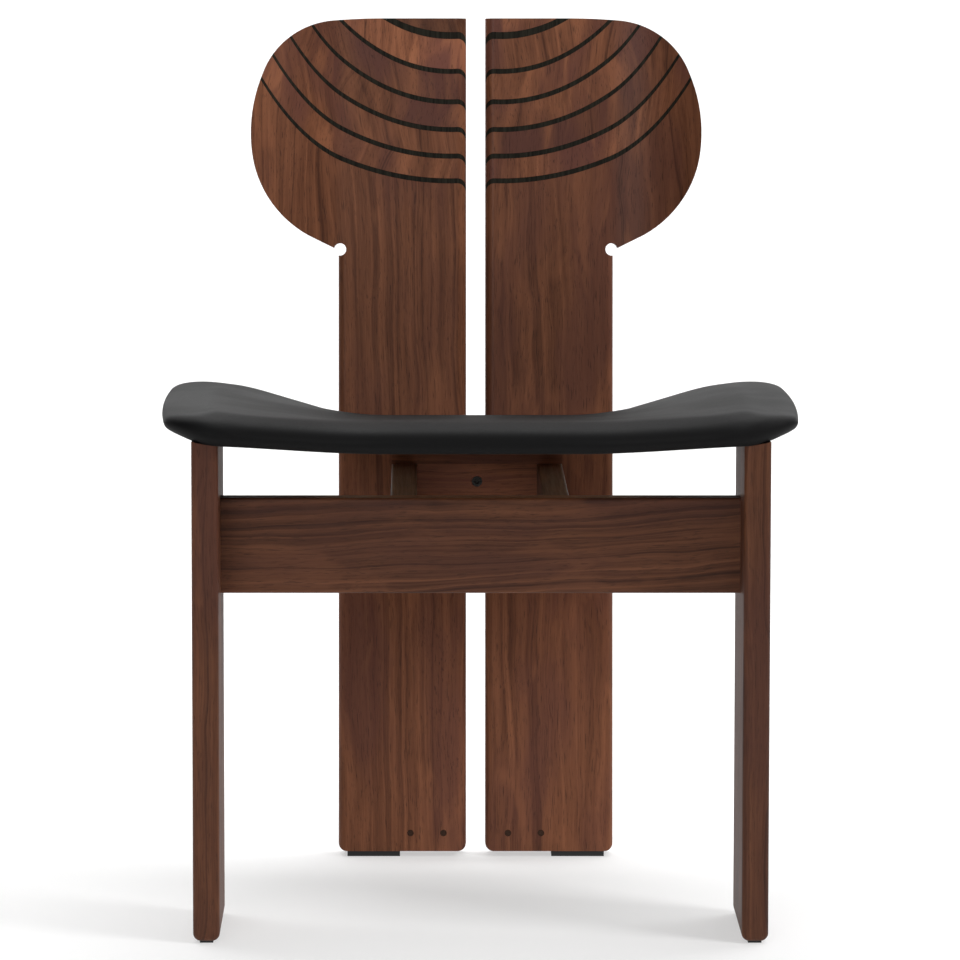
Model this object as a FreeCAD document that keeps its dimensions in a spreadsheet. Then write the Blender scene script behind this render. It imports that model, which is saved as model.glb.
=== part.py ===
import FreeCAD, Part
import math
import os
import re
import Sketcher
from FreeCAD import Placement, Rotation, Vector

# A walnut side chair: two back boards from floor to winged crest, two plank front legs
# joined by a deep apron, and a saddle-shaped leather seat carried on two rails.
# Millimetres. X runs across the chair, Y to its back, Z up from the floor.

SIZES = {
    # Distance from the front of the legs back to the chair's middle, where y is 0
    "origin_setback": 247.87,
    # Front legs: planks set edge on to the front, on thin glides, under the sides of the seat
    "leg_inset": 30,
    "leg_thickness": 24,
    "leg_depth": 140,
    "leg_edge_radius": 5,
    "leg_foot_radius": 7,
    "glide_thickness": 2,
    "glide_margin": 6,
    # Apron between the legs, with a tenon into each
    "apron_thickness": 24,
    "apron_height": 86.5,
    "apron_underside": 309,
    "apron_edge_radius": 3,
    "tenon_thickness": 10,
    "tenon_length": 16,
    "tenon_shoulder": 12,
    # Rails from the apron back to the boards
    "rail_span": 162,
    "rail_thickness": 24,
    "rail_height": 70,
    "rail_step": 2,
    "rail_edge_radius": 3,
    # Cross pieces between the rails
    "cleat_setback": 345,
    "cleat_thickness": 24,
    "cleat_height": 58,
    "cleat_edge_radius": 1.5,
    "spacer_height": 50,
    "spacer_drop": 5,
    # Screw through the cleat, and bolts up into the seat
    "screw_diameter": 6,
    "screw_head_diameter": 9.5,
    "screw_head_height": 5,
    "screw_length": 60,
    "screw_drop": 18,
    "hex_key": 5,
    "hex_depth": 3,
    "head_clearance": 0.3,
    "bolt_spacing": 60,
    "bolt_setback": 383,
    "bolt_length": 70,
    "bolt_recess": 8,
    # Loose tenons: upright ones in the ends of the rails, wide ones in the tops of the legs
    "loose_tenon_length": 30,
    "loose_tenon_thickness": 10,
    "loose_tenon_height": 44,
    "leg_tenon_width": 70,
    "leg_tenon_bite": 8,
    # Back boards
    "back_lean": 5,
    "back_setback": 415,
    "back_length": 813,
    "back_width": 266,
    "back_gap": 18.6,
    "board_thickness": 30,
    "board_inner_radius": 8.5,
    "board_outer_radius": 7,
    "board_foot_radius": 8,
    "board_clearance": 5.4,
    "foot_pad_width": 51,
    "foot_pad_inset": 8.5,
    "foot_pad_depth": 20,
    "foot_pad_setback": 3,
    "peg_diameter": 6.5,
    "peg_depth": 12,
    "peg_height": 23,
    "peg_inset": 22,
    "peg_pitch": 32,
    # Crest wing, in the plane of its board: where each arc of its outline ends
    "wing_half_width": 217.3,
    "wing_flat_end": 88.7,
    "wing_brow_end": 139.7,
    "wing_brow_drop": 2.2,
    "wing_brow_radius": 562,
    "wing_shoulder_end": 205.8,
    "wing_shoulder_drop": 54.5,
    "wing_shoulder_radius": 78.5,
    "wing_flank_end": 215,
    "wing_flank_drop": 135.9,
    "wing_flank_radius": 151.7,
    "wing_jowl_end": 162.3,
    "wing_jowl_drop": 210,
    "wing_jowl_radius": 105,
    "wing_lip_end": 130.7,
    "wing_lip_drop": 225.6,
    "notch_radius": 6,
    "notch_inset": 1.4,
    "notch_drop": 223.6,
    # Hollow of the wing: outside the board its face bends forward
    "hollow_start": 129,
    "hollow_radius": 131,
    "wing_back_start": 110,
    "wing_margin": 1.5,
    "wing_edge_thickness": 18,
    # Laminations: round bent layers that fall towards the back of the crest, from the top down
    "lamination_centre": 24.7,
    "lamination_fall_share": 1.2,
    "lamination_length_share": 4,
    "stripe_drop_1": 13.3,
    "stripe_radius_1": 177.4,
    "stripe_drop_2": 48.9,
    "stripe_radius_2": 192.4,
    "stripe_drop_3": 78.4,
    "stripe_radius_3": 220.9,
    "stripe_drop_4": 105.2,
    "stripe_radius_4": 264.7,
    "stripe_drop_5": 130.9,
    "stripe_radius_5": 328.9,
    "stripe_drop_6": 154.9,
    "stripe_radius_6": 407,
    "inlay_height": 4.9,
    "inlay_height_top": 6.8,
    # Seat
    "seat_width": 576,
    "seat_front_height": 468.7,
    "seat_rear_height": 429,
    "seat_front_rise": 8.6,
    "seat_rear_rise": 40.7,
    "seat_thickness": 26.9,
    "seat_overhang": 12.2,
    "seat_depth": 460,
    "seat_front_corner_width": 48,
    "seat_front_corner_depth": 95.6,
    "seat_rear_corner_width": 174,
    "seat_rear_corner_depth": 182.5,
    "seat_dish_half_width": 92,
    "seat_flank_width": 187,
    "leather_thickness": 1.6,
    "ply_thickness": 10,
    "seat_clearance": 0.2,
    "leather_window_width": 290,
    "leather_window_start": 45,
    "leather_window_length": 350,
    "leather_window_drop": 5,
    "leather_window_rise": 18,
    "carrier_setback": 335,
    "carrier_length": 58,
    "carrier_height": 24,
    # Room that a cutting shape reaches past what it cuts
    "overrun": 10,
}

LAMINATION_COUNT = 6

# How the saddle is divided across its width, how much longer than high its side edge is, and how much of what
# the edge loses in thickness it gains in height
SEAT_STEPS = 9
SEAT_END_ANGLES = (20, 40, 58, 74, 85)
SEAT_END_SHARE = 3.8
SEAT_END_LIFT = 0.6

# Two points nearer than this are the same point
SAME = 0.01

doc = FreeCAD.newDocument("SideChair")
sheet = doc.addObject("Spreadsheet::Sheet", "Sizes")
for row, (name, value) in enumerate(SIZES.items(), start=1):
    sheet.set(f"A{row}", name)
    sheet.set(f"B{row}", str(value))
    sheet.setAlias(f"B{row}", name)
doc.recompute()

probe = doc.addObject("App::FeaturePython", "Probe")
probe.addProperty("App::PropertyFloat", "Value")

parts = []


def size(name):
    """A dimension as the sheet holds it."""
    return float(sheet.get(name))


def bound(text):
    """The text with each dimension's name turned into its cell of the sheet."""
    return re.sub(r"[a-z_][a-z_0-9]*", lambda m: "Sizes." + m.group() if m.group() in SIZES else m.group(), text)


def worked(text):
    """The number that an expression in the sheet's dimensions comes to."""
    probe.setExpression("Value", bound(text))
    probe.recompute()
    return probe.Value


def bind(thing, **expressions):
    """Ties properties of an object to the sheet; a double underscore stands for a dot."""
    for name, text in expressions.items():
        thing.setExpression(name.replace("__", "."), bound(text))
    return thing


def at(thing, x, y, z):
    """Places an object by expressions."""
    return bind(thing, Placement__Base__x=x, Placement__Base__y=y, Placement__Base__z=z)


def block(name, length, width, height, x, y, z):
    """A plain box with its lowest corner at x, y, z."""
    made = doc.addObject("Part::Box", name)
    bind(made, Length=length, Width=width, Height=height)
    return at(made, x, y, z)


def rod(name, diameter, length, x, y, z, axis=(0, 0, 1)):
    """A round rod from x, y, z along an axis."""
    made = doc.addObject("Part::Cylinder", name)
    made.Placement = Placement(Vector(), Rotation(Vector(0, 0, 1), Vector(*axis)))
    bind(made, Radius=f"({diameter}) / 2", Height=length)
    return at(made, x, y, z)


def group(name, *pieces):
    made = doc.addObject("Part::Compound", name)
    made.Links = list(pieces)
    return made


def join(name, *pieces):
    made = doc.addObject("Part::MultiFuse", name)
    made.Shapes = list(pieces)
    made.Refine = True
    return made


def cut(name, base, *tools):
    made = doc.addObject("Part::Cut", name)
    made.Base = base
    made.Tool = tools[0] if len(tools) == 1 else join(name + "_tool", *tools)
    return made


def common(name, base, tool):
    made = doc.addObject("Part::Common", name)
    made.Base = base
    made.Tool = tool
    return made


def mirrored(name, source):
    """The same piece on the other side of the chair's middle plane."""
    made = doc.addObject("Part::Mirroring", name)
    made.Source = source
    made.Base = Vector(0, 0, 0)
    made.Normal = Vector(1, 0, 0)
    return made


def leaned(thing):
    """Turns a piece drawn in the plane of the upright back to the back's real lean."""
    thing.Placement = Placement(Vector(), Rotation(Vector(1, 0, 0), -size("back_lean")))
    return bind(thing, Placement__Base__y="back_setback - origin_setback")


def keep(label, thing):
    """Takes an object as a finished sub-part of the chair."""
    thing.Label = label
    parts.append(thing)
    return thing


def keep_pair(stem, thing, tail=""):
    """Takes a right-hand piece and its mirror image as two sub-parts."""
    keep(f"{stem}_right{tail}", thing)
    return keep(f"{stem}_left{tail}", mirrored(f"{stem}_left{tail}", thing))


def body(name):
    return doc.addObject("PartDesign::Body", name)


def outline(owner, role, corners):
    """A closed sketch on an origin plane of a body. A corner is two expressions. If the edge reaching it is an
    arc, a radius follows, and the side on which its centre lies as one travels: "left" or "right"."""
    sketch = owner.newObject("Sketcher::SketchObject", "Outline")
    sketch.AttachmentSupport = [(next(f for f in owner.Origin.OriginFeatures if f.Role == role), "")]
    sketch.MapMode = "FlatFace"
    points = [Vector(worked(c[0]), worked(c[1]), 0) for c in corners]
    count = len(points)
    radii = {}
    for i, start in enumerate(points):
        after = (i + 1) % count
        end = points[after]
        if len(corners[after]) == 2:
            sketch.addGeometry(Part.LineSegment(start, end), False)
            continue
        radii[i], side = corners[after][2:]
        radius = worked(radii[i])
        if side == "right":
            start, end = end, start
        half = (end - start) / 2
        across = Vector(-half.y, half.x, 0).normalize()
        centre = start + half + across * math.sqrt(radius ** 2 - half.Length ** 2)
        sketch.addGeometry(Part.Arc(start, centre - across * radius, end), False)
    first = [1 if (sketch.Geometry[i].StartPoint - p).Length < SAME else 2 for i, p in enumerate(points)]
    for i in range(count):
        after = (i + 1) % count
        sketch.addConstraint(Sketcher.Constraint("Coincident", i, 3 - first[i], after, first[after]))
    sized = [("Radius", text, (i, worked(text))) for i, text in radii.items()]
    for i, corner in enumerate(corners):
        sized.append(("DistanceX", corner[0], (-1, 1, i, first[i], points[i].x)))
        sized.append(("DistanceY", corner[1], (-1, 1, i, first[i], points[i].y)))
    for kind, text, values in sized:
        index = sketch.addConstraint(Sketcher.Constraint(kind, *values))
        sketch.setExpression(f"Constraints[{index}]", bound(text))
    doc.recompute()
    return sketch


def pad(owner, sketch, length, **settings):
    """Pads a sketch; settings are the pad's own properties."""
    made = owner.newObject("PartDesign::Pad", "Pad")
    made.Profile = sketch
    for name, value in settings.items():
        setattr(made, name, value)
    bind(made, Length=length)
    doc.recompute()
    return made


def rounded(owner, radius, chosen):
    """Rounds those edges of a body for whose two ends, and the box of all corners, chosen(a, b, box) holds."""
    names = []
    box = FreeCAD.BoundBox()
    for corner in owner.Tip.Shape.Vertexes:
        box.add(corner.Point)
    for i, edge in enumerate(owner.Tip.Shape.Edges, start=1):
        ends = [v.Point for v in edge.Vertexes]
        if len(ends) == 2 and chosen(*ends, box):
            names.append(f"Edge{i}")
    base = owner.Tip
    made = owner.newObject("PartDesign::Fillet", "Round")
    made.Base = (base, names)
    bind(made, Radius=radius)
    doc.recompute()
    return made


def bar(name, length, width, height, x, y, z):
    """A body that starts as a box with its lowest corner at x, y, z, ready to be rounded."""
    made = body(name)
    stock = made.newObject("PartDesign::AdditiveBox", "Stock")
    bind(stock, Length=length, Width=width, Height=height)
    at(made, x, y, z)
    doc.recompute()
    return made


def upright(a, b, box):
    return abs(a.x - b.x) < SAME and abs(a.y - b.y) < SAME


def fore_and_aft(a, b, box):
    return abs(a.x - b.x) < SAME and abs(a.z - b.z) < SAME


def crosswise(a, b, box):
    return abs(a.y - b.y) < SAME and abs(a.z - b.z) < SAME


def quarter(start, corner, end):
    """A quarter of an ellipse between two points, inside the corner that its two end tangents meet in."""
    curve = Part.BSplineCurve()
    curve.buildFromPolesMultsKnots([start, corner, end], [3, 3], [0, 1], False, 2, [1, math.sqrt(0.5), 1])
    return curve


def seat_slab(name, half_thickness, shift, square=False):
    """One layer of the saddle. All layers follow the same middle surface: half_thickness is measured from it,
    and shift moves the layer up from it. Sections run fore and aft, with round or square front and rear edges."""
    full = size("seat_thickness")
    last = size("seat_width") / 2 - full / 2 * SEAT_END_SHARE
    front = full / 2 - size("seat_overhang")
    rear = size("seat_depth") - size("seat_overhang") - full / 2

    def rise_share(u):
        share = min(max((u - size("seat_dish_half_width")) / size("seat_flank_width"), 0), 1)
        return share * share * (3 - 2 * share)

    def middle(u, y):
        lift = rise_share(u)
        near = size("seat_front_height") + size("seat_front_rise") * lift
        far = size("seat_rear_height") + size("seat_rear_rise") * lift
        return near + (far - near) * (y - front) / (rear - front) - full / 2

    def corner_reach(u, corner):
        """How far the edge draws back at u on the front or rear corner."""
        start = size("seat_width") / 2 - size(f"seat_{corner}_corner_width")
        share = max(u - start, 0) / (last + half_thickness * SEAT_END_SHARE - start)
        return size(f"seat_{corner}_corner_depth") * (1 - math.sqrt(max(1 - share ** 2, 0)))

    def section(x, u, half):
        y0, y1 = front + corner_reach(u, "front"), rear - corner_reach(u, "rear")
        lift = Vector(0, 0, (half_thickness - half) * SEAT_END_LIFT)
        a, b = Vector(x, y0, middle(u, y0)) + lift, Vector(x, y1, middle(u, y1)) + lift
        along = (b - a).normalize()
        up = Vector(0, -along.z, along.y)
        along, rise = along * half_thickness, up * half
        a, b = a + up * shift, b + up * shift
        edges = [Part.LineSegment(a + rise, b + rise), Part.LineSegment(b - rise, a - rise)]
        if square:
            edges.insert(0, Part.LineSegment(a - rise, a + rise))
            edges.insert(2, Part.LineSegment(b + rise, b - rise))
        else:
            edges.insert(1, quarter(b + rise, b + rise + along, b + along))
            edges.insert(2, quarter(b + along, b + along - rise, b - rise))
            edges.append(quarter(a - rise, a - rise - along, a - along))
            edges.append(quarter(a - along, a + rise - along, a + rise))
        wire = Part.Wire([e.toShape() for e in edges])
        wire.translate(Vector(0, -size("origin_setback"), 0))
        return wire

    stations = [(last * math.sin(math.pi / 2 * i / SEAT_STEPS), half_thickness) for i in range(SEAT_STEPS + 1)]
    for degrees in SEAT_END_ANGLES:
        angle = math.radians(degrees)
        stations.append((last + half_thickness * SEAT_END_SHARE * math.sin(angle), half_thickness * math.cos(angle)))
    both = [(-u, h) for u, h in reversed(stations[1:])] + stations
    made = doc.addObject("Part::Feature", name)
    made.Shape = Part.makeLoft([section(x, abs(x), h) for x, h in both], True, True)
    return made


def seat():
    """The leather cover, its foam and its bent plywood shell, the room that they need in the frame, and the space
    that the leg tenons mustn't reach."""
    skin, ply, gap = size("leather_thickness"), size("ply_thickness"), size("seat_clearance")
    outer = size("seat_thickness") / 2
    inner = outer - skin
    foam_half = (2 * inner - ply - 3 * gap) / 2
    slope = "(seat_front_height - seat_rear_height) / (seat_depth - seat_thickness)"
    near_end, far_end = "leather_window_start", "(leather_window_start + leather_window_length)"
    near_top, far_top = (f"seat_front_height - {slope} * ({y} + seat_overhang - seat_thickness / 2)"
                         for y in (near_end, far_end))
    near_end, far_end = f"{near_end} - origin_setback", f"{far_end} - origin_setback"
    cover = seat_slab("seat_outside", outer, 0)
    cavity = seat_slab("seat_inside", inner, 0)
    shell = seat_slab("shell_blank", ply / 2, ply / 2 + gap - inner, square=True)
    foam = seat_slab("foam_blank", foam_half, inner - foam_half - gap)
    hollow_skin = doc.addObject("Part::Feature", "leather_skin")
    hollow_skin.Shape = Part.Solid(Part.Compound([cover.Shape.Shells[0], cavity.Shape.Shells[0].reversed()]))
    opening = body("leather_window")
    sill = outline(opening, "YZ_Plane", [
        (y, f"{z} - seat_thickness + {rise}") for y, z, rise in (
            (near_end, near_top, "-leather_window_drop"), (far_end, far_top, "-leather_window_drop"),
            (far_end, far_top, "leather_window_rise"), (near_end, near_top, "leather_window_rise"))
    ])
    pad(opening, sill, "leather_window_width", Midplane=True)
    leather = cut("leather_cover", hollow_skin, opening)
    envelope = seat_slab("seat_envelope", outer + gap, 0)
    shell_room = seat_slab("shell_room", outer, outer - inner + gap)
    above_tenon = seat_slab("above_tenon", outer, size("leg_tenon_bite"))
    return leather, shell, foam, envelope, shell_room, above_tenon


leather, shell, foam, envelope, shell_room, above_tenon = seat()

# Front legs: their tops follow the underside of the seat, with a loose tenon up into its shell
leg_span = "(seat_width - 2 * leg_inset)"
leg = bar("leg_stock", "leg_thickness", "leg_depth", "seat_front_height - seat_thickness / 2 - glide_thickness",
          f"{leg_span} / 2 - leg_thickness", "-origin_setback", "glide_thickness")
rounded(leg, "leg_foot_radius", lambda a, b, box: fore_and_aft(a, b, box) and a.z < box.ZMin + SAME)
rounded(leg, "leg_edge_radius", upright)
tenon_place = ("(leg_depth - tenon_thickness) / 2 - origin_setback", "apron_underside + tenon_shoulder")
mortise = block("mortise", "tenon_length + overrun", "tenon_thickness", "apron_height - 2 * tenon_shoulder",
                f"{leg_span} / 2 - leg_thickness - overrun", *tenon_place)
tenon_stock = block("tenon_stock", "loose_tenon_thickness", "leg_tenon_width", "loose_tenon_length + overrun",
                    f"({leg_span} - leg_thickness - loose_tenon_thickness) / 2",
                    "(leg_depth - leg_tenon_width) / 2 - origin_setback",
                    "seat_front_height + seat_front_rise - seat_thickness + leg_tenon_bite - loose_tenon_length")
leg_tenon = cut("leg_tenon_right", tenon_stock, above_tenon)
keep_pair("front_leg", cut("leg_shaped", leg, mortise, envelope, leg_tenon))
leg_tenons = keep("leg_tenons", group("leg_tenons", leg_tenon, mirrored("leg_tenon_left", leg_tenon)))
glide = block("glide", "leg_thickness - 2 * glide_margin", "leg_depth - 2 * glide_margin", "glide_thickness",
              f"{leg_span} / 2 - leg_thickness + glide_margin", "glide_margin - origin_setback", "0")
keep_pair("front_glide", glide)

# Apron: one wide board with a tenon at each end
apron = bar("apron_stock", f"{leg_span} - 2 * leg_thickness", "apron_thickness", "apron_height",
            f"leg_thickness - {leg_span} / 2", "(leg_depth - apron_thickness) / 2 - origin_setback", "apron_underside")
rounded(apron, "apron_edge_radius", crosswise)
tenons = block("tenons", f"{leg_span} - 2 * (leg_thickness - tenon_length)", "tenon_thickness",
               "apron_height - 2 * tenon_shoulder", f"leg_thickness - tenon_length - {leg_span} / 2", *tenon_place)

# Rails: a little below the apron's top, their back ends cut to the lean of the boards
rail_front = "(leg_depth + apron_thickness) / 2"
rail_top = "(apron_underside + apron_height - rail_step)"
rail = body("rail_stock")
side = outline(rail, "YZ_Plane", [
    (f"{rail_front} - origin_setback", rail_top),
    (f"{rail_front} - origin_setback", f"{rail_top} - rail_height"),
    (f"back_setback + ({rail_top} - rail_height) * tan(back_lean * 1deg) - origin_setback",
     f"{rail_top} - rail_height"),
    (f"back_setback + ({rail_top}) * tan(back_lean * 1deg) - origin_setback", rail_top),
])
pad(rail, side, "rail_thickness")
rounded(rail, "rail_edge_radius", fore_and_aft)
at(rail, "rail_span / 2 - rail_thickness", "0", "0")

rail_tenon_place = "(rail_span - rail_thickness - loose_tenon_thickness) / 2"
rail_tenon_floor = f"{rail_top} - (rail_height + loose_tenon_height) / 2"
front_tenon = block("front_tenon_right", "loose_tenon_thickness", "loose_tenon_length", "loose_tenon_height",
                    rail_tenon_place, f"{rail_front} - loose_tenon_length / 2 - origin_setback", rail_tenon_floor)
back_tenon = block("back_tenon_right", "loose_tenon_thickness", "loose_tenon_length", "loose_tenon_height",
                   rail_tenon_place, "-loose_tenon_length / 2", rail_tenon_floor)
front_all = keep("rail_tenons_front", group("front_tenons", front_tenon, mirrored("front_tenon_left", front_tenon)))
back_all = group("back_tenons", back_tenon, mirrored("back_tenon_left", back_tenon))
keep("rail_tenons_back", leaned(back_all))
keep("front_apron", cut("apron_shaped", join("apron_blank", apron, tenons), front_all))
keep_pair("side_rail", cut("rail_shaped", rail, front_all, back_all))

# Cleat and spacer block between the rails
inside = "(rail_span - 2 * rail_thickness)"
cleat = bar("cleat_stock", inside, "cleat_thickness", "cleat_height",
            f"-{inside} / 2", "cleat_setback - origin_setback", f"{rail_top} - cleat_height")
rounded(cleat, "cleat_edge_radius", crosswise)
spacer = body("spacer_stock")
spacer_top = f"({rail_top} - spacer_drop)"
wedge = outline(spacer, "YZ_Plane", [
    ("cleat_setback + cleat_thickness - origin_setback", spacer_top),
    ("cleat_setback + cleat_thickness - origin_setback", f"{spacer_top} - spacer_height"),
    (f"back_setback + ({spacer_top} - spacer_height) * tan(back_lean * 1deg) - origin_setback",
     f"{spacer_top} - spacer_height"),
    (f"back_setback + {spacer_top} * tan(back_lean * 1deg) - origin_setback", spacer_top),
])
pad(spacer, wedge, inside, Midplane=True)


def socket_screw(name, length, x, y, z, axis):
    """A socket-head screw, its head's outer face at x, y, z and its shank along the axis, and the hole for it."""
    place = Placement(Vector(), Rotation(Vector(0, 0, 1), Vector(*axis)))
    head = rod(name + "_head", "screw_head_diameter", "screw_head_height", "0", "0", "0")
    shank = rod(name + "_shank", "screw_diameter", length, "0", "0", "0")
    socket = doc.addObject("Part::Prism", name + "_socket")
    socket.Polygon = 6
    bind(socket, Circumradius="hex_key / sqrt(3)", Height="hex_depth")
    room = rod(name + "_room", "screw_head_diameter + 2 * head_clearance", "screw_head_height + overrun",
               "0", "0", "-overrun")
    screw = cut(name, join(name + "_blank", head, shank), socket)
    hole = join(name + "_hole", room, shank)
    for thing in (screw, hole):
        thing.Placement = place
        at(thing, x, y, z)
    return screw, hole


screw, screw_hole = socket_screw("cleat_screw", "screw_length", "0", "cleat_setback - origin_setback",
                                 f"{rail_top} - screw_drop", (0, 1, 0))
keep("cleat_screw", screw)
bolt_floor = f"{spacer_top} - spacer_height + bolt_recess"
bolts, bolt_holes = [], []
for sign in "+-":
    bolt, bolt_hole = socket_screw(
        "seat_bolt_" + ("right" if sign == "+" else "left"),
        "bolt_length",
        f"{sign}bolt_spacing / 2", "bolt_setback - origin_setback", bolt_floor, (0, 0, 1))
    bolts.append(bolt)
    bolt_holes.append(bolt_hole)
keep("seat_bolts", group("seat_bolts", *bolts))
keep("seat_cleat", cut("cleat_shaped", cleat, screw_hole))
keep("rear_spacer_block", cut("spacer_shaped", spacer, screw_hole, *bolt_holes))

# Carrier: a board across the rails, planed on top to the underside of the seat shell
carrier = block("carrier_stock", "rail_span", "carrier_length", "carrier_height",
                "-rail_span / 2", "carrier_setback - origin_setback", rail_top)
keep("seat_carrier", cut("carrier_shaped", carrier, shell_room, *bolt_holes))
keep("seat_leather", cut("leather_pierced", leather, leg_tenons))
keep("seat_foam", foam)
keep("seat_shell", cut("shell_pierced", shell, leg_tenons, *bolt_holes))

# Wing: bent in plan, then cut to its outline
wing_end = "(wing_half_width + wing_margin)"
hollow = f"(hollow_radius - sqrt(hollow_radius ^ 2 - ({wing_end} - hollow_start) ^ 2))"
back_fall = f"(board_thickness - wing_edge_thickness + {hollow})"
back_radius = f"(({wing_end} - wing_back_start) ^ 2 + {back_fall} ^ 2) / (2 * {back_fall})"
bend = body("wing_bend")
plan = outline(bend, "XY_Plane", [
    ("back_gap / 2", "0"),
    ("hollow_start", "0"),
    (wing_end, f"-{hollow}", "hollow_radius", "right"),
    (wing_end, f"wing_edge_thickness - {hollow}"),
    ("wing_back_start", "board_thickness", back_radius, "left"),
    ("back_gap / 2", "board_thickness"),
])
pad(bend, plan, "back_length + overrun")
rounded(bend, "board_inner_radius", lambda a, b, box: upright(a, b, box) and a.x < box.XMin + SAME)
crest = body("crest_outline")
face = outline(crest, "XZ_Plane", [
    ("-overrun", "back_length"),
    ("wing_flat_end", "back_length"),
] + [(f"wing_{name}_end", f"back_length - wing_{name}_drop", f"wing_{name}_radius", "right")
     for name in ("brow", "shoulder", "flank", "jowl")] + [
    ("wing_lip_end", "back_length - wing_lip_drop"),
    ("-overrun", "back_length - wing_lip_drop"),
])
pad(crest, face, "2 * (board_thickness + wing_half_width - hollow_start)", Midplane=True)
wing = common("wing", bend, crest)

# Plank: the straight part of a board, from just above the floor to the wing
plank = bar("plank", "(back_width - back_gap) / 2", "board_thickness",
            "back_length - wing_lip_drop - board_clearance", "back_gap / 2", "0", "board_clearance")
rounded(plank, "board_inner_radius", lambda a, b, box: upright(a, b, box) and a.x < box.XMin + SAME)
rounded(plank, "board_outer_radius", lambda a, b, box: upright(a, b, box) and a.x > box.XMax - SAME)
ends = body("plank_ends")
elevation = outline(ends, "XZ_Plane", [
    ("back_gap / 2", "back_length"),
    ("back_gap / 2", "board_clearance + board_foot_radius"),
    ("back_gap / 2 + board_foot_radius", "board_clearance", "board_foot_radius", "left"),
    ("back_width / 2 - board_foot_radius", "board_clearance"),
    ("back_width / 2", "board_clearance + board_foot_radius", "board_foot_radius", "left"),
    ("back_width / 2", "back_length"),
])
pad(ends, elevation, "2 * (board_thickness + overrun)", Midplane=True)
plank = common("plank_rounded", plank, ends)


def lamination(number, lowered):
    """The space above one bent layer: a wide cylinder, laid obliquely so that the layer falls towards the back."""
    radius = f"stripe_radius_{number}"
    return rod("Above", f"2 * {radius}", f"lamination_length_share * {radius}", "lamination_centre", "0",
               f"back_length - stripe_drop_{number} + {radius} * sqrt(1 + lamination_fall_share ^ 2) - {lowered}",
               axis=(0, 1, -size("lamination_fall_share")))


above = None
for number in range(1, LAMINATION_COUNT + 1):
    lower = lamination(number, "0")
    band = lamination(number, "inlay_height_top" if number == 1 else "inlay_height")
    layer = common(f"layer_{number}", wing, cut(f"layer_space_{number}", lower, above) if above else lower)
    inlay = common(f"inlay_{number}", wing, cut(f"inlay_space_{number}", band, lower))
    keep_pair("crest_layer", leaned(layer), f"_{number}")
    keep_pair("inlay", leaned(inlay), f"_{number}")
    above = band

pegs = [rod(f"peg_{number}", "peg_diameter", "peg_depth", f"back_gap / 2 + peg_inset + {number} * peg_pitch",
            "0", "peg_height", axis=(0, 1, 0)) for number in (0, 1)]
peg_pair = group("pegs_right", *pegs)
keep("board_pegs", leaned(group("pegs", peg_pair, mirrored("pegs_left", peg_pair))))
notch = rod("notch", "2 * notch_radius", "board_thickness + 2 * overrun", "back_width / 2 - notch_inset",
            "-overrun", "back_length - notch_drop", axis=(0, 1, 0))
board = cut("board_shaped", join("board_blank", plank, wing), above, notch, *pegs, back_tenon)
keep_pair("back_board", leaned(board))

# Feet: wedges between the floor and the leaning boards
foot = body("rear_foot")
foot_line = "board_clearance / cos(back_lean * 1deg) - ({}) * tan(back_lean * 1deg)"
foot_end = "foot_pad_setback + foot_pad_depth"
profile = outline(foot, "YZ_Plane", [
    ("back_setback + foot_pad_setback - origin_setback", "0"),
    (f"back_setback + {foot_end} - origin_setback", "0"),
    (f"back_setback + {foot_end} - origin_setback", foot_line.format(foot_end)),
    ("back_setback + foot_pad_setback - origin_setback", foot_line.format("foot_pad_setback")),
])
pad(foot, profile, "foot_pad_width")
at(foot, "back_width / 2 - foot_pad_inset - foot_pad_width", "0", "0")
keep_pair("rear_foot", foot)

doc.recompute()
faults = [thing.Name for thing in doc.Objects if {"Invalid", "Error"} & set(thing.State)]
faults += [thing.Label for thing in parts if thing.Shape.isNull() or not thing.Shape.isValid()]
if faults:
    raise RuntimeError("These pieces failed: " + ", ".join(faults))
os.makedirs("parts", exist_ok=True)
for thing in parts:
    thing.Shape.exportStep(f"parts/{thing.Label}.step")
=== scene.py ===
import math

import bmesh
import bpy
from mathutils import Euler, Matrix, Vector


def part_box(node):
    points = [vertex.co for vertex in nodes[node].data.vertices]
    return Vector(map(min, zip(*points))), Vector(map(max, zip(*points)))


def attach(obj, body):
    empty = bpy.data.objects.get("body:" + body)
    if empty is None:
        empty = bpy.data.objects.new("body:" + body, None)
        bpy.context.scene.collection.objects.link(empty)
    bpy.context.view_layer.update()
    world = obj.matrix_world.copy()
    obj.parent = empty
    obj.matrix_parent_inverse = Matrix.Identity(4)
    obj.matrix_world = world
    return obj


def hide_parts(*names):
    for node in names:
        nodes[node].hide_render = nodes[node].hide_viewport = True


# A walnut side chair with twin back boards, a laminated crest and a saddle seat in black leather.
# Metres. X runs across the chair, Y to its back, Z up from the floor.

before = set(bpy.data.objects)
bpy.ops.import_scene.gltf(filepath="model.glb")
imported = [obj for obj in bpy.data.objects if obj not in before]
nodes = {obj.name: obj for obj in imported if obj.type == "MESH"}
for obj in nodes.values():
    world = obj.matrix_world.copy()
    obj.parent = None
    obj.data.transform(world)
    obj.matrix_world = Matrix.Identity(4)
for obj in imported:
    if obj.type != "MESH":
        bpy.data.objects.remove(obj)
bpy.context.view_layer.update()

# The back's lean, and the distance from the front of the legs to the chair's middle, where y is 0
LEAN = math.radians(5)
ORIGIN_SETBACK = 0.24787


# Node trees

def feed(tree, socket, value):
    """Gives an input a value, or the socket that feeds it."""
    if isinstance(value, bpy.types.NodeSocket):
        tree.links.new(value, socket)
    else:
        socket.default_value = value


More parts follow.
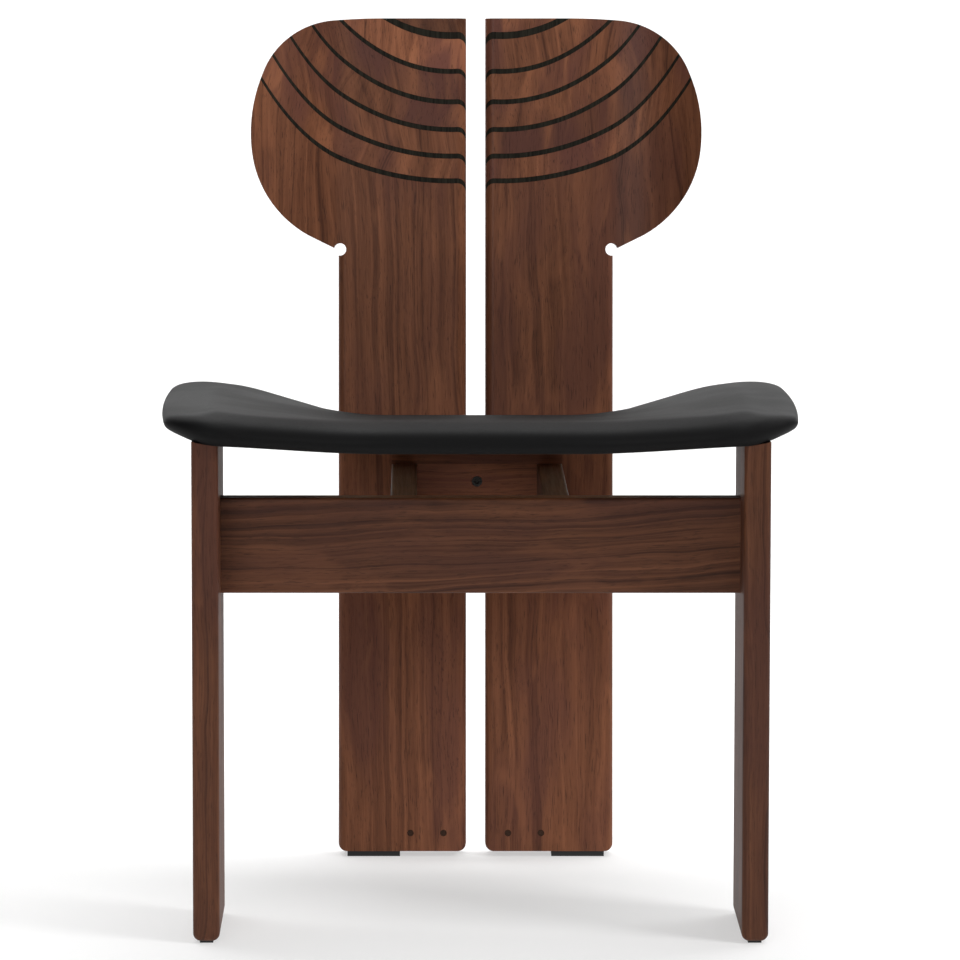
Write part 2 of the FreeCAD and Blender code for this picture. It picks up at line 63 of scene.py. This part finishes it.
def put(tree, kind, inputs=None, **settings):
    """Adds a node; an input is a value or the socket that feeds it."""
    node = tree.nodes.new(kind)
    for name, value in settings.items():
        setattr(node, name, value)
    for key, value in (inputs or {}).items():
        feed(tree, node.inputs[key], value)
    return node


def shade(tree, name, inputs=None, **settings):
    """Adds a shader node by the end of its name."""
    return put(tree, "ShaderNode" + name, inputs, **settings)


def reckon(tree, operation, *values, clamp=False):
    """A Math node's result."""
    return shade(tree, "Math", dict(enumerate(values)), operation=operation, use_clamp=clamp).outputs[0]


def spread(tree, value, low, high, to_low=0.0, to_high=1.0):
    """Maps low..high to to_low..to_high, clamped, with soft ends."""
    node = shade(tree, "MapRange", {0: value, 1: low, 2: high, 3: to_low, 4: to_high},
                 interpolation_type="SMOOTHSTEP")
    return node.outputs[0]


def stretched(tree, vector, scale):
    """Scales each direction of a place by its own amount."""
    return shade(tree, "VectorMath", {0: vector, 1: scale}, operation="MULTIPLY").outputs[0]


def noise(tree, vector, scale, detail=2.0, roughness=0.5, distortion=0.0):
    return shade(tree, "TexNoise", {"Vector": vector, "Scale": scale, "Detail": detail,
                                    "Roughness": roughness, "Distortion": distortion})


def mixed(tree, factor, a, b):
    """A colour between a and b."""
    node = shade(tree, "Mix", data_type="RGBA", clamp_factor=True)
    for key, value in ((0, factor), (6, a), (7, b)):
        feed(tree, node.inputs[key], value)
    return node.outputs[2]


def started(name):
    """A new material: its tree, its surface shader, and the piece's own coordinates."""
    material = bpy.data.materials.new(name)
    material.use_nodes = True
    tree = material.node_tree
    tree.nodes.clear()
    surface = shade(tree, "BsdfPrincipled")
    out = shade(tree, "OutputMaterial", {"Surface": surface.outputs[0]})
    out.is_active_output = True
    coordinates = shade(tree, "TexCoord").outputs["Object"]
    return material, tree, surface, coordinates


def bumped(tree, surface, height, distance, strength):
    """Gives a surface its fine relief, as deep as distance in metres."""
    bump = shade(tree, "Bump", {"Height": height, "Distance": distance, "Strength": strength})
    tree.links.new(bump.outputs[0], surface.inputs["Normal"])


# Wood

# Walnut's colours: the ground from dark to light, the plum-coloured clouds, late wood, open pores, oiled end grain
DARK = (0.066, 0.020, 0.0085)
LIGHT = (0.250, 0.092, 0.042)
PLUM = (0.105, 0.036, 0.024)
LATE_WOOD = (0.030, 0.011, 0.006, 1)
PORE = (0.020, 0.009, 0.005, 1)
END_GRAIN = (0.010, 0.004, 0.002, 1)

# How closely each mark of the figure lies across the grain, per metre
DRIFTS, CLOUDS, GLOWS, STREAKS, RINGS, LINES, FIBRES, PORES = 10, 15, 32, 90, 170, 620, 700, 1300
DRIFT_REACH = 0.034

ALONG_Z = (0, 0, 0)
ALONG_X = (0, -math.pi / 2, 0)
ALONG_Y = (math.pi / 2, 0, 0)
ALONG_BACK = (LEAN, 0, 0)


def wood_figure():
    """The figure of walnut with its grain along Z, about a heart at the middle: rings of uneven width, a
    drifting grain, fibres, pores, and clouds that are plum-coloured or light."""
    tree = bpy.data.node_groups.new("Walnut figure", "ShaderNodeTree")
    for name, kind in (("Vector", "NodeSocketVector"), ("Dark", "NodeSocketColor"), ("Light", "NodeSocketColor"),
                       ("Plum", "NodeSocketColor"), ("Rings", "NodeSocketFloat"), ("Clouds", "NodeSocketFloat")):
        tree.interface.new_socket(name, in_out="INPUT", socket_type=kind)
    for name, kind in (("Color", "NodeSocketColor"), ("Roughness", "NodeSocketFloat"),
                       ("Height", "NodeSocketFloat")):
        tree.interface.new_socket(name, in_out="OUTPUT", socket_type=kind)
    given = put(tree, "NodeGroupInput").outputs
    place = given["Vector"]
    drift = noise(tree, stretched(tree, place, (1, 1, 0.34)), DRIFTS, 3, 0.5).outputs["Color"]
    centred = shade(tree, "VectorMath", {0: drift, 1: (0.5, 0.5, 0.5)}, operation="SUBTRACT").outputs[0]
    warp = stretched(tree, centred, (DRIFT_REACH, DRIFT_REACH, 0))
    bent = shade(tree, "VectorMath", {0: place, 1: warp}, operation="ADD").outputs[0]
    flat = stretched(tree, bent, (1, 1, 0))
    away = shade(tree, "VectorMath", {0: flat}, operation="LENGTH").outputs["Value"]
    rings = shade(tree, "TexNoise", {"W": reckon(tree, "MULTIPLY", away, RINGS), "Scale": 1, "Detail": 4,
                                     "Roughness": 0.68}, noise_dimensions="1D").outputs["Fac"]
    lines = shade(tree, "TexNoise", {"W": reckon(tree, "MULTIPLY", away, LINES), "Scale": 1, "Detail": 2,
                                     "Roughness": 0.5}, noise_dimensions="1D").outputs["Fac"]
    fibres = noise(tree, stretched(tree, place, (1, 1, 0.02)), FIBRES, 4, 0.65).outputs["Fac"]
    streaks = noise(tree, stretched(tree, bent, (1, 1, 0.05)), STREAKS, 4, 0.6).outputs["Fac"]
    clouds = noise(tree, stretched(tree, bent, (1, 1, 0.3)), CLOUDS, 3, 0.5).outputs["Fac"]
    glow = noise(tree, stretched(tree, bent, (1, 1, 0.25)), GLOWS, 3, 0.55, 0.6).outputs["Fac"]
    pores = noise(tree, stretched(tree, bent, (1, 1, 0.045)), PORES, 2, 0.5).outputs["Fac"]
    tone = reckon(tree, "MULTIPLY", reckon(tree, "SUBTRACT", rings, 0.5), given["Rings"])
    for value, weight in ((lines, 0.22), (fibres, 0.50), (streaks, 0.95)):
        tone = reckon(tree, "ADD", tone, reckon(tree, "MULTIPLY", reckon(tree, "SUBTRACT", value, 0.5), weight))
    share = reckon(tree, "ADD", tone, 0.46, clamp=True)
    colour = mixed(tree, share, given["Dark"], given["Light"])
    veil = reckon(tree, "MULTIPLY", spread(tree, clouds, 0.40, 0.62), given["Clouds"])
    colour = mixed(tree, veil, colour, given["Plum"])
    shine = reckon(tree, "MULTIPLY", spread(tree, glow, 0.50, 0.68), given["Clouds"])
    colour = mixed(tree, reckon(tree, "MULTIPLY", shine, 0.75), colour, given["Light"])
    late = spread(tree, rings, 0.36, 0.26)
    colour = mixed(tree, reckon(tree, "MULTIPLY", late, 0.55), colour, LATE_WOOD)
    sunk = spread(tree, pores, 0.58, 0.68)
    colour = mixed(tree, reckon(tree, "MULTIPLY", sunk, 0.5), colour, PORE)
    out = put(tree, "NodeGroupOutput").inputs
    tree.links.new(colour, out["Color"])
    tree.links.new(spread(tree, fibres, 0.3, 0.7, 0.66, 0.50), out["Roughness"])
    relief = reckon(tree, "SUBTRACT", reckon(tree, "MULTIPLY", fibres, 0.5), sunk)
    tree.links.new(relief, out["Height"])
    return tree


figure = wood_figure()


def darkened(colour, share):
    """A colour with each of its channels at a share of its strength."""
    return tuple(channel * share for channel in colour)


def finish_of(node_name, material):
    """Gives a CAD node its finish."""
    thing = nodes[node_name]
    if not thing.material_slots:
        thing.data.materials.append(None)
    for slot in thing.material_slots:
        slot.link = "OBJECT"
        slot.material = material


def walnut(node_name, tone, heart, turn, run_out=(0, 0), rings=1.3, clouds=0.6):
    """Oiled walnut for one board. heart says where the board lay in the tree: from the heart to the board's
    middle, with the grain along Z. run_out is the slope, in degrees, by which the grain leaves the board's own
    direction. End grain drinks more oil, so it is darker."""
    material, tree, surface, coordinates = started("Walnut " + node_name.replace("_", " "))
    turn = Euler((turn[0] + math.radians(run_out[0]), turn[1] + math.radians(run_out[1]), turn[2]))
    low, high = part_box(node_name)
    middle = (Vector(low) + Vector(high)) / 2
    middle.rotate(turn)
    turned = shade(tree, "Mapping", {"Vector": coordinates, "Location": Vector(heart) - middle,
                                     "Rotation": turn}).outputs[0]
    group = tree.nodes.new("ShaderNodeGroup")
    group.node_tree = figure
    tree.links.new(turned, group.inputs["Vector"])
    for key, value in (("Dark", DARK), ("Light", LIGHT), ("Plum", PLUM)):
        group.inputs[key].default_value = (*darkened(value, tone), 1)
    group.inputs["Rings"].default_value = rings
    group.inputs["Clouds"].default_value = clouds
    grain = turn.to_matrix().transposed() @ Vector((0, 0, 1))
    facing = shade(tree, "VectorMath", {0: shade(tree, "NewGeometry").outputs["Normal"], 1: grain},
                   operation="DOT_PRODUCT").outputs["Value"]
    end_grain = spread(tree, reckon(tree, "ABSOLUTE", facing), 0.75, 0.95, 0, 0.6)
    colour = mixed(tree, end_grain, group.outputs["Color"], END_GRAIN)
    tree.links.new(colour, surface.inputs["Base Color"])
    tree.links.new(group.outputs["Roughness"], surface.inputs["Roughness"])
    surface.inputs["Specular IOR Level"].default_value = 0.16
    surface.inputs["Coat Weight"].default_value = 0.10
    surface.inputs["Coat Roughness"].default_value = 0.28
    bumped(tree, surface, group.outputs["Height"], 0.00012, 0.6)
    finish_of(node_name, material)


# Each board has its own place in the tree, its own tone and its own run of grain. The side rails' low tone is
# painted shade, for the seat's shadow on them
walnut("back_board_left", 1.12, (0.15, 0.11, 0.2), ALONG_BACK, (1.6, 2.4))
walnut("back_board_right", 1.10, (-0.07, 0.16, 1.3), ALONG_BACK, (0.8, -1.0))
walnut("front_leg_left", 0.72, (0.10, 0.16, 2.1), ALONG_Z, (0.8, 0.5))
walnut("front_leg_right", 0.62, (-0.12, 0.15, 3.2), ALONG_Z, (0.5, -0.8))
walnut("front_apron", 0.64, (0.11, 0.06, 4.1), ALONG_X, (0.6, 2.4), 2.2)
# Painted shade: the side rails are darkened to 0.38 for the shadow that the seat casts on them
walnut("side_rail_left", 0.38, (0.10, 0.10, 5.2), ALONG_Y)
walnut("side_rail_right", 0.38, (-0.10, 0.10, 6.3), ALONG_Y)
walnut("seat_cleat", 1.15, (0.10, 0.08, 7.4), ALONG_X)
walnut("seat_carrier", 0.66, (0.12, 0.10, 8.5), ALONG_X)
walnut("rear_spacer_block", 1.00, (0.12, 0.12, 9.6), ALONG_X)
CREST_TONES = {
    "left": (0.72, 1.75, 1.08, 1.10, 1.16, 1.28),
    "right": (1.22, 1.14, 1.22, 1.16, 1.00, 1.28),
}
for side, tones in CREST_TONES.items():
    for number, tone in enumerate(tones, start=1):
        spin = number * 1.7 + (0.9 if side == "left" else 0)
        heart = (0.14 * math.cos(spin), 0.10 + 0.05 * math.sin(spin * 3), 10 + spin)
        run_out = (7 * math.sin(spin * 3), 9 * math.cos(spin * 2))
        walnut(f"crest_layer_{side}_{number}", tone, heart, ALONG_BACK, run_out, 1.3, 1.0)


def plain_wood(name, dark, light, turn, fibres_per_metre, roughness=0.55):
    """Wood of a quiet figure, such as beech or dyed veneer: long fibres only."""
    material, tree, surface, coordinates = started(name)
    turned = shade(tree, "Mapping", {"Vector": coordinates, "Rotation": turn}).outputs[0]
    fibres = noise(tree, stretched(tree, turned, (1, 1, 0.04)), fibres_per_metre, 4, 0.6).outputs["Fac"]
    colour = mixed(tree, spread(tree, fibres, 0.3, 0.7), (*dark, 1), (*light, 1))
    tree.links.new(colour, surface.inputs["Base Color"])
    tree.links.new(spread(tree, fibres, 0.3, 0.7, roughness + 0.08, roughness - 0.05), surface.inputs["Roughness"])
    surface.inputs["Specular IOR Level"].default_value = 0.1
    bumped(tree, surface, fibres, 0.0001, 0.4)
    return material


dyed_veneer = plain_wood("Black dyed veneer", (0.0065, 0.0055, 0.0035), (0.022, 0.019, 0.012), ALONG_BACK, 500)
for side in ("left", "right"):
    for number in range(1, 7):
        finish_of(f"inlay_{side}_{number}", dyed_veneer)
peg_wood = plain_wood("Dark peg end grain", (0.022, 0.011, 0.007), (0.055, 0.027, 0.016), ALONG_Y, 900)
finish_of("board_pegs", peg_wood)
beech = plain_wood("Beech", (0.40, 0.26, 0.15), (0.62, 0.44, 0.28), ALONG_Y, 500)
for name in ("leg_tenons", "rail_tenons_front", "rail_tenons_back"):
    finish_of(name, beech)


def plywood():
    """Bent plywood: beech veneers with their fibres along Y."""
    material, tree, surface, coordinates = started("Bent plywood")
    fibres = noise(tree, stretched(tree, coordinates, (1, 0.03, 1)), 260, 4, 0.6).outputs["Fac"]
    broad = noise(tree, stretched(tree, coordinates, (1, 0.2, 1)), 12, 2).outputs["Fac"]
    colour = mixed(tree, spread(tree, fibres, 0.3, 0.72), (0.36, 0.24, 0.13, 1), (0.58, 0.42, 0.26, 1))
    colour = mixed(tree, spread(tree, broad, 0.45, 0.65, 0, 0.4), colour, (0.42, 0.27, 0.15, 1))
    tree.links.new(colour, surface.inputs["Base Color"])
    tree.links.new(spread(tree, fibres, 0.3, 0.7, 0.66, 0.52), surface.inputs["Roughness"])
    bumped(tree, surface, fibres, 0.0001, 0.5)
    return material


def foam():
    """Cream seat foam with its open cells."""
    material, tree, surface, coordinates = started("Cream foam")
    cells = shade(tree, "TexVoronoi", {"Vector": coordinates, "Scale": 900}).outputs["Distance"]
    colour = mixed(tree, spread(tree, cells, 0.1, 0.8), (0.50, 0.46, 0.36, 1), (0.78, 0.74, 0.62, 1))
    tree.links.new(colour, surface.inputs["Base Color"])
    tree.links.new(spread(tree, cells, 0.1, 0.8, 0.95, 0.85), surface.inputs["Roughness"])
    bumped(tree, surface, cells, 0.0004, 0.8)
    return material


def moulded(name, colour, roughness, grain=1500.0):
    """Matte moulded rubber, or blackened steel, with a fine uneven skin."""
    material, tree, surface, coordinates = started(name)
    skin = noise(tree, coordinates, grain, 3, 0.6).outputs["Fac"]
    worn = mixed(tree, spread(tree, skin, 0.35, 0.7), (*darkened(colour, 0.75), 1), (*darkened(colour, 1.35), 1))
    tree.links.new(worn, surface.inputs["Base Color"])
    tree.links.new(spread(tree, skin, 0.3, 0.7, roughness - 0.07, roughness + 0.07), surface.inputs["Roughness"])
    bumped(tree, surface, skin, 0.00005, 0.5)
    return material, surface


pad_rubber = moulded("Black pad rubber", (0.012, 0.012, 0.012), 0.6)[0]
for side in ("left", "right"):
    finish_of(f"rear_foot_{side}", pad_rubber)
    finish_of(f"front_glide_{side}", pad_rubber)
black_oxide, steel_surface = moulded("Black oxide steel", (0.035, 0.034, 0.032), 0.38, 2500.0)
steel_surface.inputs["Metallic"].default_value = 0.9
for name in ("cleat_screw", "seat_bolts"):
    finish_of(name, black_oxide)
finish_of("seat_shell", plywood())
finish_of("seat_foam", foam())


def leather():
    """Smooth black hide, finished satin: fine pebbles, faint stretch lines and a cloudy sheen."""
    material, tree, surface, coordinates = started("Black leather")
    pebbles = shade(tree, "TexVoronoi", {"Vector": coordinates, "Scale": 750},
                    feature="SMOOTH_F1").outputs["Distance"]
    creases = noise(tree, stretched(tree, coordinates, (1, 0.5, 1)), 60, 4, 0.55, 0.4).outputs["Fac"]
    cloud = noise(tree, coordinates, 9, 3, 0.5).outputs["Fac"]
    black, worn_black = (0.0018, 0.0018, 0.0020, 1), (0.0032, 0.0031, 0.0033, 1)
    colour = mixed(tree, spread(tree, cloud, 0.35, 0.7), black, worn_black)
    tree.links.new(colour, surface.inputs["Base Color"])
    satin = spread(tree, cloud, 0.3, 0.7, 0.58, 0.66)
    dull = reckon(tree, "ADD", satin, reckon(tree, "MULTIPLY", pebbles, 0.08))
    tree.links.new(dull, surface.inputs["Roughness"])
    surface.inputs["Specular IOR Level"].default_value = 0.16
    relief = reckon(tree, "ADD", reckon(tree, "MULTIPLY", pebbles, 0.35), creases)
    bumped(tree, surface, relief, 0.00022, 0.5)
    return material


hide = leather()
finish_of("seat_leather", hide)


# Seat cushion

# y is measured from the front of the legs. The pad's middle line lies between these ends
SEAT_HALF_THICKNESS = 0.01345
SEAT_FRONT = SEAT_HALF_THICKNESS - 0.0122
SEAT_REAR = 0.4478 - SEAT_HALF_THICKNESS
# Height of the top over the dish, and how far and how wide it climbs from there to the wings
DISH_HALF_WIDTH = 0.092
FRONT_HEIGHT, FRONT_RISE, FRONT_FLANK = 0.4687, 0.0075, 0.187
REAR_HEIGHT, REAR_RISE, REAR_FLANK = 0.429, 0.0378, 0.195
# Outline of the seat from above: its sides bow out, and each corner starts at a width, is so deep and so full
SEAT_HALF_WIDTH = 0.2930
WIDEST_AT, SIDE_BOW = 0.258, 0.57
FRONT_CORNER = (0.234, 0.040, 1.92)
REAR_CORNER = (0.181, 0.120, 2.28)
# Ends of the wings: full height up to here, then round to a rim above the middle, with the underside swept up
LAST_FULL = 0.237
SIDE_FULLNESS = 4.4
RIM_SHARE = 0.36
SWEEP_START, SIDE_SWEEP = 0.255, 0.30
# The filling: slack that it takes up, where it fades, how hard it presses, and how far the hide may swell
SLACK = 0.0025
FADE_START, FADE_WIDTH = 0.205, 0.06
AIR_PRESSURE, HIDE_STIFFNESS, SWELL_CAP, FILL_FRAMES = 4.0, 15, 0.004, 20
WADDING_PASSES = 6
LEG_REACH = 0.262
# The hide, and the opening that it leaves under the seat
HIDE_THICKNESS = 0.0016
WINDOW_HALF_WIDTH = 0.145
WINDOW_FRONT, WINDOW_REAR = 0.045, 0.395
# The form's mesh: steps across the middle, places round each end as shares of it, steps along and round an edge
MIDDLE_STEPS = 16
END_SHARES = (0.15, 0.30, 0.45, 0.58, 0.70, 0.80, 0.88, 0.94, 0.98, 1)
LINE_STEPS = 40
ARC_STEPS = 8


def smooth_step(share):
    """Goes from 0 to 1 with soft ends."""
    share = min(max(share, 0.0), 1.0)
    return share * share * (3 - 2 * share)


def seat_middle(u, y):
    """Height of the middle of the pad, u from the chair's middle line."""
    near = FRONT_HEIGHT + FRONT_RISE * smooth_step((u - DISH_HALF_WIDTH) / FRONT_FLANK)
    far = REAR_HEIGHT + REAR_RISE * smooth_step((u - DISH_HALF_WIDTH) / REAR_FLANK)
    return near + (far - near) * (y - SEAT_FRONT) / (SEAT_REAR - SEAT_FRONT) - SEAT_HALF_THICKNESS


def fullness_share(u):
    """The share of the filling that is left towards the side edges, where the hide is drawn tight."""
    return 1 - smooth_step((u - FADE_START) / FADE_WIDTH)


def corner_reach(u, corner):
    """How far the edge draws back at u on a corner, given by where it starts, how deep and how full it is."""
    start, depth, power = corner
    share = max(u - start, 0) / (SEAT_HALF_WIDTH - start)
    return depth * (1 - max(1 - share ** power, 0) ** (1 / power))


def seat_section(x, height_share):
    """The two ends of the pad's middle line at x, its direction, and its upward direction times its half
    height."""
    u = abs(x)
    near = SEAT_FRONT + corner_reach(u, FRONT_CORNER)
    far = SEAT_REAR - corner_reach(u, REAR_CORNER)
    slack = SLACK * fullness_share(u)
    half = SEAT_HALF_THICKNESS - slack / 2
    rim = RIM_SHARE * half
    top = rim + (half - rim) * height_share
    bottom = rim - (half + rim - SIDE_SWEEP * max(u - SWEEP_START, 0)) * height_share
    lift = (top + bottom - slack) / 2
    a = Vector((x, near, seat_middle(u, near) + lift))
    b = Vector((x, far, seat_middle(u, far) + lift))
    along = (b - a).normalized()
    up = Vector((0, -along.z, along.y))
    return a, b, along * half, up * (top - bottom) / 2


def seat_stations():
    """Places across the seat and how high the section still is there, from left to right."""
    right = [(LAST_FULL * i / MIDDLE_STEPS, 1.0) for i in range(MIDDLE_STEPS + 1)]
    for share in END_SHARES:
        right.append((LAST_FULL + (SEAT_HALF_WIDTH - LAST_FULL) * share,
                      max(1 - share ** SIDE_FULLNESS, 0) ** (1 / SIDE_FULLNESS)))
    return [(-u, h) for u, h in reversed(right[1:])] + right


def seat_form():
    """The pad before it is filled: a closed form a little smaller than the finished cushion."""
    mesh = bmesh.new()
    rings = []
    for x, height_share in seat_stations():
        a, b, along, rise = seat_section(x, height_share)
        ring = []
        for i in range(ARC_STEPS):
            angle = -math.pi / 2 + math.pi * i / ARC_STEPS
            ring.append(a - along * math.cos(angle) + rise * math.sin(angle))
        ring += [a + rise + (b - a) * i / LINE_STEPS for i in range(LINE_STEPS)]
        for i in range(ARC_STEPS):
            angle = math.pi / 2 - math.pi * i / ARC_STEPS
            ring.append(b + along * math.cos(angle) + rise * math.sin(angle))
        ring += [b - rise + (a - b) * i / LINE_STEPS for i in range(LINE_STEPS)]
        for point in ring:
            point.x *= 1 - SIDE_BOW * (point.y - WIDEST_AT) ** 2
            point.y -= ORIGIN_SETBACK
        rings.append([mesh.verts.new(point) for point in ring])
    count = len(rings[0])
    for left, right in zip(rings, rings[1:]):
        for j in range(count):
            k = (j + 1) % count
            mesh.faces.new((left[j], right[j], right[k], left[k]))
    bmesh.ops.remove_doubles(mesh, verts=mesh.verts, dist=1e-6)
    bmesh.ops.dissolve_degenerate(mesh, dist=1e-6, edges=mesh.edges)
    bmesh.ops.recalc_face_normals(mesh, faces=mesh.faces)
    data = bpy.data.meshes.new("seat_cover")
    mesh.to_mesh(data)
    mesh.free()
    form = bpy.data.objects.new("seat_cover", data)
    bpy.context.collection.objects.link(form)
    return form


def settled(thing):
    """Replaces an object's mesh by what its modifiers make of it, and takes them off."""
    view = bpy.context.evaluated_depsgraph_get()
    made = bpy.data.meshes.new_from_object(thing.evaluated_get(view))
    thing.modifiers.clear()
    thing.data = made
    return thing


def softened(form):
    """Rounds the side edges of a form over, as an upholsterer's wadding does. It stays flat on the legs."""
    sides = form.vertex_groups.new(name="Sides")
    for vertex in form.data.vertices:
        if vertex.normal.z > -0.7 or abs(vertex.co.x) > LEG_REACH:
            sides.add([vertex.index], 1 - fullness_share(abs(vertex.co.x)), "REPLACE")
    rounding = form.modifiers.new("Wadding", "SMOOTH")
    rounding.factor = 0.5
    rounding.iterations = WADDING_PASSES
    rounding.vertex_group = "Sides"
    return settled(form)


def filled(form):
    """Fills a form like a cushion: its skin is cloth under pressure, held where it is stapled to the shell."""
    held = form.vertex_groups.new(name="Stapled")
    held.add([v.index for v in form.data.vertices if v.normal.z < -0.3], 1.0, "REPLACE")
    start = [v.co.copy() for v in form.data.vertices]
    cloth = form.modifiers.new("Skin", "CLOTH")
    cloth.settings.use_pressure = True
    cloth.settings.uniform_pressure_force = AIR_PRESSURE
    cloth.settings.effector_weights.gravity = 0
    cloth.settings.vertex_group_mass = "Stapled"
    cloth.settings.tension_stiffness = cloth.settings.compression_stiffness = HIDE_STIFFNESS
    cloth.point_cache.frame_start, cloth.point_cache.frame_end = 1, FILL_FRAMES
    for moment in range(1, FILL_FRAMES + 1):
        bpy.context.scene.frame_set(moment)
    settled(form)
    bpy.context.scene.frame_set(1)
    for vertex, origin in zip(form.data.vertices, start):
        moved = (vertex.co - origin) * fullness_share(abs(origin.x))
        vertex.co = origin + moved * min(SWELL_CAP / max(moved.length, 1e-6), 1)
    return form


def windowed(thing):
    """Opens the hide under the seat, where it is turned round the shell's edges, and gives the opening a
    thick edge."""
    mesh = bmesh.new()
    mesh.from_mesh(thing.data)
    y_front, y_rear = WINDOW_FRONT - ORIGIN_SETBACK, WINDOW_REAR - ORIGIN_SETBACK
    cuts = [((side * WINDOW_HALF_WIDTH, 0, 0), (1, 0, 0)) for side in (-1, 1)]
    cuts += [((0, y, 0), (0, 1, 0)) for y in (y_front, y_rear)]
    for place, normal in cuts:
        below = [f for f in mesh.faces if f.normal.z < -0.8]
        geometry = list({e for f in below for e in f.edges} | {v for f in below for v in f.verts}) + below
        bmesh.ops.bisect_plane(mesh, geom=geometry, dist=1e-5, plane_co=place, plane_no=normal)
    bare = [f for f in mesh.faces if f.normal.z < -0.8 and abs(f.calc_center_median().x) < WINDOW_HALF_WIDTH
            and y_front < f.calc_center_median().y < y_rear]
    bmesh.ops.delete(mesh, geom=bare, context="FACES")
    rim = [e for e in mesh.edges if e.is_boundary]
    turned = bmesh.ops.extrude_edge_only(mesh, edges=rim)["geom"]
    for vertex in turned:
        if isinstance(vertex, bmesh.types.BMVert):
            vertex.co.z += HIDE_THICKNESS
    mesh.to_mesh(thing.data)
    mesh.free()
    return thing


def seat_cover():
    """The black leather cover over its filling, open below."""
    cover = filled(softened(seat_form()))
    rounding = cover.modifiers.new("Smooth skin", "SUBSURF")
    rounding.levels = rounding.render_levels = 1
    windowed(settled(cover))
    cover.data.materials.clear()
    cover.data.materials.append(hide)
    cover.data.shade_smooth()
    return cover


cover = seat_cover()
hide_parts("seat_leather", "seat_foam")
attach(cover, "root")


# Stage, light and camera

def sweep():
    """A white floor that curves up into a backdrop. It is clear from behind and below, so the chair shows
    from there."""
    floor_front, floor_rear, half_width, top, radius, steps = -3.2, 1.6, 4, 4.0, 1.0, 16
    mesh = bmesh.new()
    profile = [(floor_front, 0), (floor_rear, 0)]
    for i in range(1, steps + 1):
        angle = math.pi / 2 * i / steps
        profile.append((floor_rear + radius * math.sin(angle), radius * (1 - math.cos(angle))))
    profile.append((floor_rear + radius, top))
    rows = [[mesh.verts.new((x, y, z)) for y, z in profile] for x in (-half_width, half_width)]
    for i in range(len(profile) - 1):
        mesh.faces.new((rows[0][i], rows[1][i], rows[1][i + 1], rows[0][i + 1]))
    data = bpy.data.meshes.new("backdrop")
    mesh.to_mesh(data)
    mesh.free()
    thing = bpy.data.objects.new("backdrop", data)
    bpy.context.collection.objects.link(thing)
    data.shade_smooth()
    material, tree, surface, coordinates = started("White paper")
    tone = noise(tree, coordinates, 300, 2).outputs["Fac"]
    tree.links.new(mixed(tree, tone, (0.49, 0.49, 0.49, 1), (0.51, 0.51, 0.51, 1)), surface.inputs["Base Color"])
    surface.inputs["Emission Color"].default_value = (1, 1, 1, 1)
    surface.inputs["Emission Strength"].default_value = 0.50
    surface.inputs["Roughness"].default_value = 0.9
    surface.inputs["Specular IOR Level"].default_value = 0.1
    from_behind = shade(tree, "NewGeometry").outputs["Backfacing"]
    clear = shade(tree, "BsdfTransparent").outputs[0]
    seen = shade(tree, "MixShader", {0: from_behind, 1: surface.outputs[0], 2: clear}).outputs[0]
    tree.links.new(seen, tree.get_output_node("ALL").inputs["Surface"])
    data.materials.append(material)


def lamp(name, place, target, width, height, power):
    """A softbox that faces its target, with its size in metres and its power in watts."""
    data = bpy.data.lights.new(name, "AREA")
    data.shape = "RECTANGLE"
    data.size, data.size_y = width, height
    data.energy = power
    thing = bpy.data.objects.new(name, data)
    bpy.context.collection.objects.link(thing)
    thing.location = place
    thing.rotation_euler = (Vector(target) - Vector(place)).to_track_quat("-Z", "Y").to_euler()


sweep()
lamp("Key softbox", (2.8, -1.6, 2.7), (0, 0, 0.4), 1.2, 1.2, 75)
lamp("Front fill", (-1.2, -4.2, 1.6), (0, 0, 0.4), 2.0, 1.4, 45)
lamp("Overhead softbox", (0.2, 0.4, 3.0), (0, 0, 0), 3.0, 3.0, 40)
lamp("Backdrop light", (0, 0.9, 3.4), (0, 2.6, 0.9), 5.0, 0.6, 130)


def studio():
    """A bright room that is dimmer on the side behind the camera, and pale where it is seen."""
    world = bpy.data.worlds.new("Studio")
    world.use_nodes = True
    tree = world.node_tree
    background = tree.nodes["Background"]
    ahead = shade(tree, "SeparateXYZ", {0: shade(tree, "TexCoord").outputs["Generated"]}).outputs["Y"]
    lit = spread(tree, ahead, -0.8, 0.4, 0.30, 0.85)
    brighter_when_seen = 15
    seen = reckon(tree, "MULTIPLY", shade(tree, "LightPath").outputs["Is Camera Ray"], brighter_when_seen)
    tree.links.new(reckon(tree, "ADD", lit, seen), background.inputs["Strength"])
    bpy.context.scene.world = world


studio()
bpy.context.scene.view_settings.view_transform = "Standard"

# The photograph's view: from 5.2 m away, looking down by 6 degrees, with uprights kept upright by the shift
camera_data = bpy.data.cameras.new("Photo view")
camera_data.sensor_width = 36
camera_data.lens = 208.48
camera_data.shift_x = 0.0676
camera_data.shift_y = -0.0976
camera = bpy.data.objects.new("Photo view", camera_data)
bpy.context.collection.objects.link(camera)
camera.location = (-0.0588, -5.1522, 1.0182)
camera.rotation_euler = (math.radians(84), 0, 0)
bpy.context.scene.camera = camera
